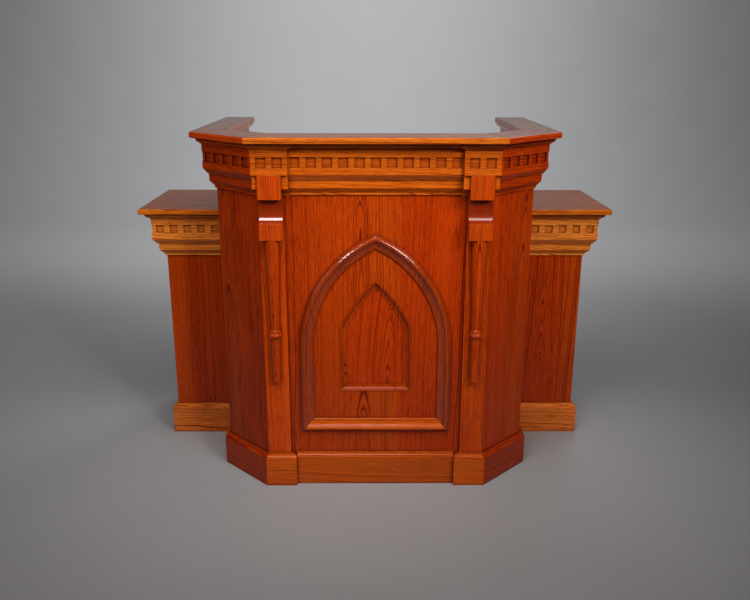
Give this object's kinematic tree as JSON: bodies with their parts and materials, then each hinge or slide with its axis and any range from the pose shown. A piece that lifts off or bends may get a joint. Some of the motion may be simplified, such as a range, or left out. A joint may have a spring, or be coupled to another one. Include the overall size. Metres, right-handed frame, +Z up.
{
  "type": "lectern stand",
  "caption": "Winged lectern stand in stained oak: canted body with pointed-arch front, moulded rail, bracketed pilasters, an open back with a sloping desk, and a lower shelved wing each side.",
  "frame": {"origin": "middle of the footprint, on the floor", "axes": "+Z up, front (the congregation's side) towards -Y, +X to the right seen from the front"},
  "size_m": [1.738, 0.902, 1.219],
  "materials": {
    "rail_oak": "stained and lacquered oak, satin gloss",
    "moulding_oak": "stained and lacquered oak, satin gloss",
    "panel_oak": "stained oak veneer and solid oak, satin gloss",
    "carved_oak": "stained and lacquered oak, gloss",
    "inside_oak": "stained oak, satin",
    "cover_oak": "stained oak plugs, satin"
  },
  "bodies": {
    "root": {"arch_moulding": "carved_oak", "arch_sill": "carved_oak", "base_block_left": "moulding_oak", "base_block_right": "moulding_oak", "base_front": "moulding_oak", "base_return_left": "moulding_oak", "base_return_right": "moulding_oak", "book_stop": "inside_oak", "bottom_board": "inside_oak", "canted_panel_left": "panel_oak", "canted_panel_right": "panel_oak", "cap_arm_left": "rail_oak", "cap_arm_right": "rail_oak", "cap_canted_left": "rail_oak", "cap_canted_right": "rail_oak", "cap_cove_canted_left": "moulding_oak", "cap_cove_canted_right": "moulding_oak", "cap_cove_front": "moulding_oak", "cap_cove_side_left": "moulding_oak", "cap_cove_side_right": "moulding_oak", "cap_front": "rail_oak", "console_left": "carved_oak", "console_right": "carved_oak", "desk_cleats": "inside_oak", "drop_column_left": "carved_oak", "drop_column_right": "carved_oak", "frieze_block_left": "moulding_oak", "frieze_block_right": "moulding_oak", "frieze_canted_left": "moulding_oak", "frieze_canted_right": "moulding_oak", "frieze_front": "moulding_oak", "frieze_side_left": "moulding_oak", "frieze_side_right": "moulding_oak", "front_panel": "panel_oak", "inner_shelf": "inside_oak", "lancet_frame": "carved_oak", "lancet_panel": "panel_oak", "pilaster_left": "carved_oak", "pilaster_right": "carved_oak", "rail_lip_cove": "moulding_oak", "reading_desk": "inside_oak", "screw_covers": "cover_oak", "side_panel_left": "panel_oak", "side_panel_right": "panel_oak", "wing_base_left": "moulding_oak", "wing_base_right": "moulding_oak", "wing_bottom_left": "inside_oak", "wing_bottom_right": "inside_oak", "wing_cove_left": "moulding_oak", "wing_cove_right": "moulding_oak", "wing_frieze_left": "moulding_oak", "wing_frieze_right": "moulding_oak", "wing_panel_front_left": "panel_oak", "wing_panel_front_right": "panel_oak", "wing_panel_side_left": "panel_oak", "wing_panel_side_right": "panel_oak", "wing_shelf_left": "inside_oak", "wing_shelf_right": "inside_oak", "wing_top_left": "rail_oak", "wing_top_right": "rail_oak"}
  },
  "joints": []
}
